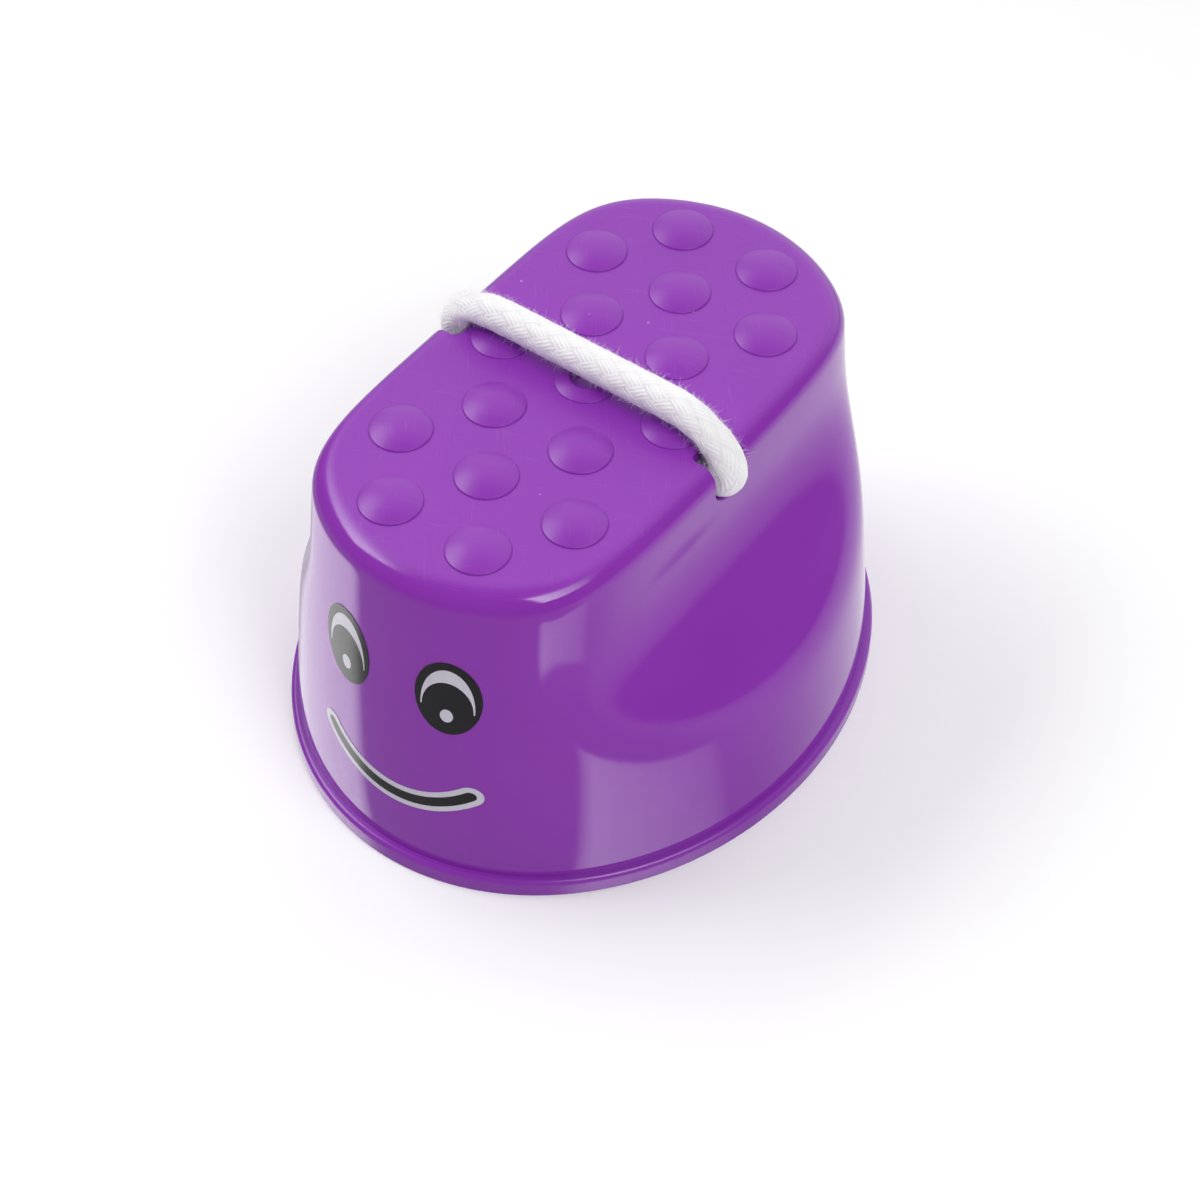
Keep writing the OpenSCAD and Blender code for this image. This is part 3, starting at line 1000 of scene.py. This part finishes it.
cottonLook = {
    "color": "#fffdff",
    # painted shade colour for the hollows between the strands
    "hollow": "#e6e0ea",
    "yarns": 4,  # in each strand
    "yarnDepth": 0.09,
    "yarnLine": (0.4, 0.2),  # painted shade: the share of a yarn's half-width that is darkened, and its share of the hollow's painted shade colour
    "hollowFrom": 0.35,  # the depth at which painted shade starts to darken a strand's side
    "hollowShade": 0.3,
    "fluff": 0.3,
    "fluffDetail": 3,
    "fluffDepth": 0.09,
    "depth": 0.5,  # how far light goes into the cotton
    "soft": 0.3,
    "sheen": 0.35,
    "sheenRoughness": 0.5,
    "roughness": 0.95,
    "fibre": ("#ffffff", "#efedf0"),
    "fibreRoughness": 0.8,
}


def braidedCotton():
    # soft spun yarns laid side by side in crossing strands: matt and bright, with painted shade:
    # faint darker lines between the yarns and a lilac darkening in the hollows
    look = cottonLook
    material, tree = newMaterial("braidedCotton")
    where = addNode(tree, "TexCoord")
    spread = addNode(tree, "SeparateXYZ", links={0: where.outputs["UV"]})
    # the map's unit is once round, so these are the two strand counts of braidHeight
    slant = rope["strands"] * math.pi * rope["diameter"] / rope["strandPitch"]
    across = addNode(tree, "Math", {"operation": "MULTIPLY", 1: rope["strands"]},
                     {0: spread.outputs["X"]})
    one = addNode(tree, "Math", {"operation": "MULTIPLY_ADD", 1: slant},
                  {0: spread.outputs["Y"], 2: across})
    other = addNode(tree, "Math", {"operation": "MULTIPLY_ADD", 1: -slant},
                    {0: spread.outputs["Y"], 2: across})
    floors = [addNode(tree, "Math", {"operation": "FLOOR"}, {0: n}) for n in (one, other)]
    cell = addNode(tree, "Math", {"operation": "ADD"}, {0: floors[0], 1: floors[1]})
    under = addNode(tree, "Math", {"operation": "FLOORED_MODULO", 1: 2}, {0: cell})
    strand = addNode(tree, "Mix", {"data_type": "FLOAT"}, {0: under, 2: one, 3: other})
    yarn = addNode(tree, "Math", {"operation": "MULTIPLY", 1: 2 * look["yarns"]}, {0: strand})
    ridge = addNode(tree, "Math", {"operation": "PINGPONG", 1: 1}, {0: yarn})
    fluff = addNode(tree, "TexNoise", {
        "Scale": perSize(look["fluff"]), "Detail": look["fluffDetail"],
    }, {"Vector": where.outputs["Object"]})
    # painted shade: darker and lilac where a strand dips, and along the lines between yarns
    hollow = addNode(tree, "Attribute", {"attribute_name": "hollow"})
    depth = addNode(tree, "MapRange", {
        "From Min": look["hollowFrom"], "From Max": 1, "To Max": look["hollowShade"],
    }, {"Value": hollow.outputs["Fac"]})
    line = addNode(tree, "MapRange", {
        "From Min": look["yarnLine"][0], "From Max": 0, "To Max": look["yarnLine"][1],
    }, {"Value": ridge})
    shade = addNode(tree, "Math", {"operation": "ADD", "use_clamp": True}, {0: depth, 1: line})
    color = addNode(tree, "Mix", {
        "data_type": "RGBA", 6: linear(look["color"]), 7: linear(look["hollow"]),
    }, {0: shade})
    combed = addNode(tree, "Bump", {"Distance": look["yarnDepth"] * mm}, {"Height": ridge})
    fuzzy = addNode(tree, "Bump", {"Distance": look["fluffDepth"] * mm},
                    {"Height": fluff, "Normal": combed})
    shader = addNode(tree, "BsdfPrincipled", {
        "Roughness": look["roughness"],
        "Sheen Weight": look["sheen"], "Sheen Roughness": look["sheenRoughness"],
        "Subsurface Weight": look["soft"], "Subsurface Radius": (1, 1, 1),
        "Subsurface Scale": look["depth"] * mm,
    }, {"Base Color": color.outputs[2], "Normal": fuzzy})
    addNode(tree, "OutputMaterial", links={"Surface": shader})
    return material


def looseCottonFibre():
    # single cotton fibres that catch the light: white and matt
    look = cottonLook
    material, tree = newMaterial("looseCottonFibre")
    where = addNode(tree, "TexCoord").outputs["Object"]
    tone = addNode(tree, "TexNoise", {"Scale": perSize(look["fluff"])}, {"Vector": where})
    color = addNode(tree, "Mix", {
        "data_type": "RGBA", 6: linear(look["fibre"][0]), 7: linear(look["fibre"][1]),
    }, {0: tone})
    shader = addNode(tree, "BsdfPrincipled", {
        "Roughness": look["fibreRoughness"], "Sheen Weight": look["sheen"],
    }, {"Base Color": color.outputs[2]})
    addNode(tree, "OutputMaterial", links={"Surface": shader})
    return material


tapeLook = {
    # the under colour is painted shade, where the threads dip under
    "under": "#d8d4cf",
    "over": "#f0eeea",
    "thread": 0.7,  # in one radian of the wave: a band is 4.4 wide, drawn coarse so that it shows
    "waveTurn": 20,  # radians that a wave texture turns in one unit
    "uneven": 0.3,
    "raised": 0.1,
    "roughness": 0.9,
}


def wovenTape():
    # narrow plain-woven cotton tape: matt, with its threads over and under, and painted shade in the
    # dips between them
    look = tapeLook
    material, tree = newMaterial("wovenCottonTape")
    where = addNode(tree, "TexCoord").outputs["Object"]
    threads = []
    for axis in ("X", "Y"):
        threads.append(addNode(tree, "TexWave", {
            "bands_direction": axis,
            "Scale": perSize(look["thread"]) / look["waveTurn"],
            "Distortion": look["uneven"],
        }, {"Vector": where}))
    weave = addNode(tree, "Math", {"operation": "MULTIPLY"},
                    {0: threads[0].outputs[1], 1: threads[1].outputs[1]})
    # painted shade: darker in the dips of the weave, lighter on the raised threads
    color = addNode(tree, "Mix", {
        "data_type": "RGBA", 6: linear(look["under"]), 7: linear(look["over"]),
    }, {0: weave})
    raised = addNode(tree, "Bump", {"Distance": look["raised"] * mm}, {"Height": weave})
    shader = addNode(tree, "BsdfPrincipled", {"Roughness": look["roughness"]},
                     {"Base Color": color.outputs[2], "Normal": raised})
    addNode(tree, "OutputMaterial", links={"Surface": shader})
    return material


plastic = mouldedPolypropylene()
cotton = braidedCotton()
fibre = looseCottonFibre()
tape = wovenTape()
blackInk = padPrintInk("blackPadPrintInk", *padPrint["black"])
whiteInk = padPrintInk("whitePadPrintInk", *padPrint["white"])


def finishPiece(piece, material, slot, *nodes):
    piece.data.materials.clear()
    piece.data.materials.append(material)
    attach(piece, "root")
    if nodes:
        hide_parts(*nodes)


finishPiece(cupPiece, plastic, "purple_plastic", "cup")
finishPiece(ropePiece, cotton, "white_rope", "rope_run", "rope_coil")
finishPiece(fuzzPiece, fibre, "white_rope")
finishPiece(leftKnot, cotton, "white_rope", "left_knot")
finishPiece(endKnot, cotton, "white_rope", "end_knot")
finishPiece(tiePiece, tape, "white_tie", "coil_tie")
for nodeName, piece in facePieces.items():
    ink, slot = (blackInk, "black_ink") if nodeName.endswith("black") else (whiteInk, "white_ink")
    finishPiece(piece, ink, slot, nodeName)
print("pieces dressed and set on their body")


# Stage and light, in metres: two softboxes beside the stilt, a lit backdrop and a glossy table whose
# glow is painted light in the gloss
studio = {
    "floor": 6.0,
    "floorColor": "#f6f6f6",
    "floorGloss": 1,
    "floorIor": 1,
    "floorGlow": 0.12,
    "tableColor": "#686868",
    # painted light: the table glows in the gloss in place of a lit table, so that no shadow shows there
    "tablePaintedGlow": 0.3,
    # painted light: the part of the table behind the stilt glows brighter, a pool of light that only
    # the gloss shows
    "paintedLightPool": {
        "azimuth": 30, "elevation": 0, "glow": 0.66,
        "near": 0.01, "far": 0.06, "fades": (0.08, 0.45),
    },
    "tableGloss": 0.03,
    "tableIor": 3.1,
    "sheetGap": 0.00002,
    "world": 0.2,
    "backdrop": {"azimuth": -12, "elevation": 24, "glow": 1.3, "full": 24, "faded": 62},
    "aim": (0, 0, 0.03),
    "border": 0.1,  # share of a softbox's width in which it dims
    "borderGlow": 0.25,
    "lamps": [
        {
            "name": "rightBox", "azimuth": 102, "elevation": 48, "distance": 0.9,
            "size": (0.64, 0.46), "glow": (8.8, 1.2),
        },
        {
            "name": "leftBox", "azimuth": -97, "elevation": 47, "distance": 0.9,
            "size": (0.82, 0.38), "glow": (2.0, 8.2),
        },
    ],
}


def direction(place):
    # azimuth runs from +Y towards +X
    azimuth, elevation = math.radians(place["azimuth"]), math.radians(place["elevation"])
    flat = math.cos(elevation)
    return Vector((math.sin(azimuth) * flat, math.cos(azimuth) * flat, math.sin(elevation)))


def addSheet(name, code, gloss, ior, glow, paintedLightPool=None):
    # the glow is for what is looked at, straight or in a gloss, and lights nothing
    startPiece()
    bpy.ops.mesh.primitive_plane_add(size=studio["floor"])
    sheet = bpy.context.object
    sheet.name = name
    material, tree = newMaterial(name)
    path = addNode(tree, "LightPath")
    mirrored = addNode(tree, "Math", {"operation": "ADD"},
                       {0: path.outputs["Is Glossy Ray"], 1: path.outputs["Is Transmission Ray"]})
    seen = addNode(tree, "Math", {"operation": "ADD", "use_clamp": True},
                   {0: path.outputs["Is Camera Ray"], 1: mirrored})
    strength = addNode(tree, "Math", {"operation": "MULTIPLY", 1: glow}, {0: seen})
    if paintedLightPool:
        where = addNode(tree, "TexCoord").outputs["Object"]
        behind = addNode(tree, "VectorMath", {"operation": "DOT_PRODUCT", 1: direction(paintedLightPool)},
                         {0: where})
        level = addNode(tree, "MapRange", {
            "interpolation_type": "SMOOTHSTEP",
            "From Min": paintedLightPool["near"], "From Max": paintedLightPool["far"], "To Min": glow, "To Max": paintedLightPool["glow"],
        }, {"Value": behind.outputs["Value"]})
        # the painted pool dims with the distance, so that the horizon is soft in the gloss
        away = addNode(tree, "VectorMath", {"operation": "LENGTH"}, {0: where})
        near = addNode(tree, "MapRange", {
            "interpolation_type": "SMOOTHSTEP",
            "From Min": paintedLightPool["fades"][1], "From Max": paintedLightPool["fades"][0],
        }, {"Value": away.outputs["Value"]})
        dimmed = addNode(tree, "Math", {"operation": "MULTIPLY"}, {0: level, 1: near})
        tree.links.new(dimmed.outputs[0], strength.inputs[1])
    shader = addNode(tree, "BsdfPrincipled", {
        "Base Color": linear(code), "Roughness": gloss, "IOR": ior, "Emission Color": (1, 1, 1, 1),
    }, {"Emission Strength": strength})
    addNode(tree, "OutputMaterial", links={"Surface": shader})
    sheet.data.materials.append(material)
    return sheet


def addStage():
    # the matt floor takes the shadow, and a glossy table top shows only in the object's own gloss, its
    # glow painted light with no shadow in it
    floor = addSheet("floor", studio["floorColor"], studio["floorGloss"], studio["floorIor"],
                     studio["floorGlow"])
    floor.visible_glossy = False
    table = addSheet("tableTop", studio["tableColor"], studio["tableGloss"], studio["tableIor"],
                     studio["tablePaintedGlow"], studio["paintedLightPool"])
    table.location.z = studio["sheetGap"]
    table.visible_camera = table.visible_diffuse = False
    table.visible_transmission = table.visible_shadow = False


def addSoftbox(lamp):
    away = direction(lamp)
    place = Vector(studio["aim"]) + lamp["distance"] * away
    turn = (-away).to_track_quat("-Z", "Y").to_euler()
    bpy.ops.object.light_add(type="AREA", location=place, rotation=turn)
    light = bpy.context.object
    light.name = lamp["name"]
    light.data.shape = "RECTANGLE"
    light.data.size, light.data.size_y = lamp["size"]
    # with this power the strengths below are brightnesses, and the box is brighter towards one end
    light.data.energy = math.pi * lamp["size"][0] * lamp["size"][1]
    light.data.use_nodes = True
    tree = light.data.node_tree
    tree.nodes.clear()
    where = addNode(tree, "NewGeometry").outputs["Parametric"]
    across = addNode(tree, "SeparateXYZ", links={0: where})
    glow = addNode(tree, "MapRange", {"To Min": lamp["glow"][0], "To Max": lamp["glow"][1]},
                   {"Value": across.outputs["X"]})
    # and the cloth is dimmer along its border
    toBorder = addNode(tree, "Math", {"operation": "PINGPONG", 1: 0.5}, {0: across.outputs["X"]})
    border = addNode(tree, "MapRange", {
        "From Max": studio["border"], "To Min": studio["borderGlow"],
    }, {"Value": toBorder})
    level = addNode(tree, "Math", {"operation": "MULTIPLY"}, {0: glow, 1: border})
    shine = addNode(tree, "Emission", links={"Strength": level})
    addNode(tree, "OutputLight", links={"Surface": shine})
    light.visible_camera = False


def addWorld():
    world = bpy.data.worlds.new("studio")
    bpy.context.scene.world = world
    world.use_nodes = True
    tree = world.node_tree
    tree.nodes.clear()
    backdrop = studio["backdrop"]
    where = addNode(tree, "TexCoord").outputs["Generated"]
    towards = addNode(tree, "VectorMath", {"operation": "DOT_PRODUCT", 1: direction(backdrop)},
                      {0: where})
    glow = addNode(tree, "MapRange", {
        "interpolation_type": "SMOOTHSTEP",
        "From Min": math.cos(math.radians(backdrop["faded"])),
        "From Max": math.cos(math.radians(backdrop["full"])),
        "To Min": studio["world"], "To Max": backdrop["glow"],
    }, {"Value": towards.outputs["Value"]})
    air = addNode(tree, "Background", links={"Strength": glow})
    addNode(tree, "OutputWorld", links={"Surface": air})


addStage()
addWorld()
for lamp in studio["lamps"]:
    addSoftbox(lamp)
bpy.context.scene.view_settings.view_transform = "Standard"
print("stage and light set")
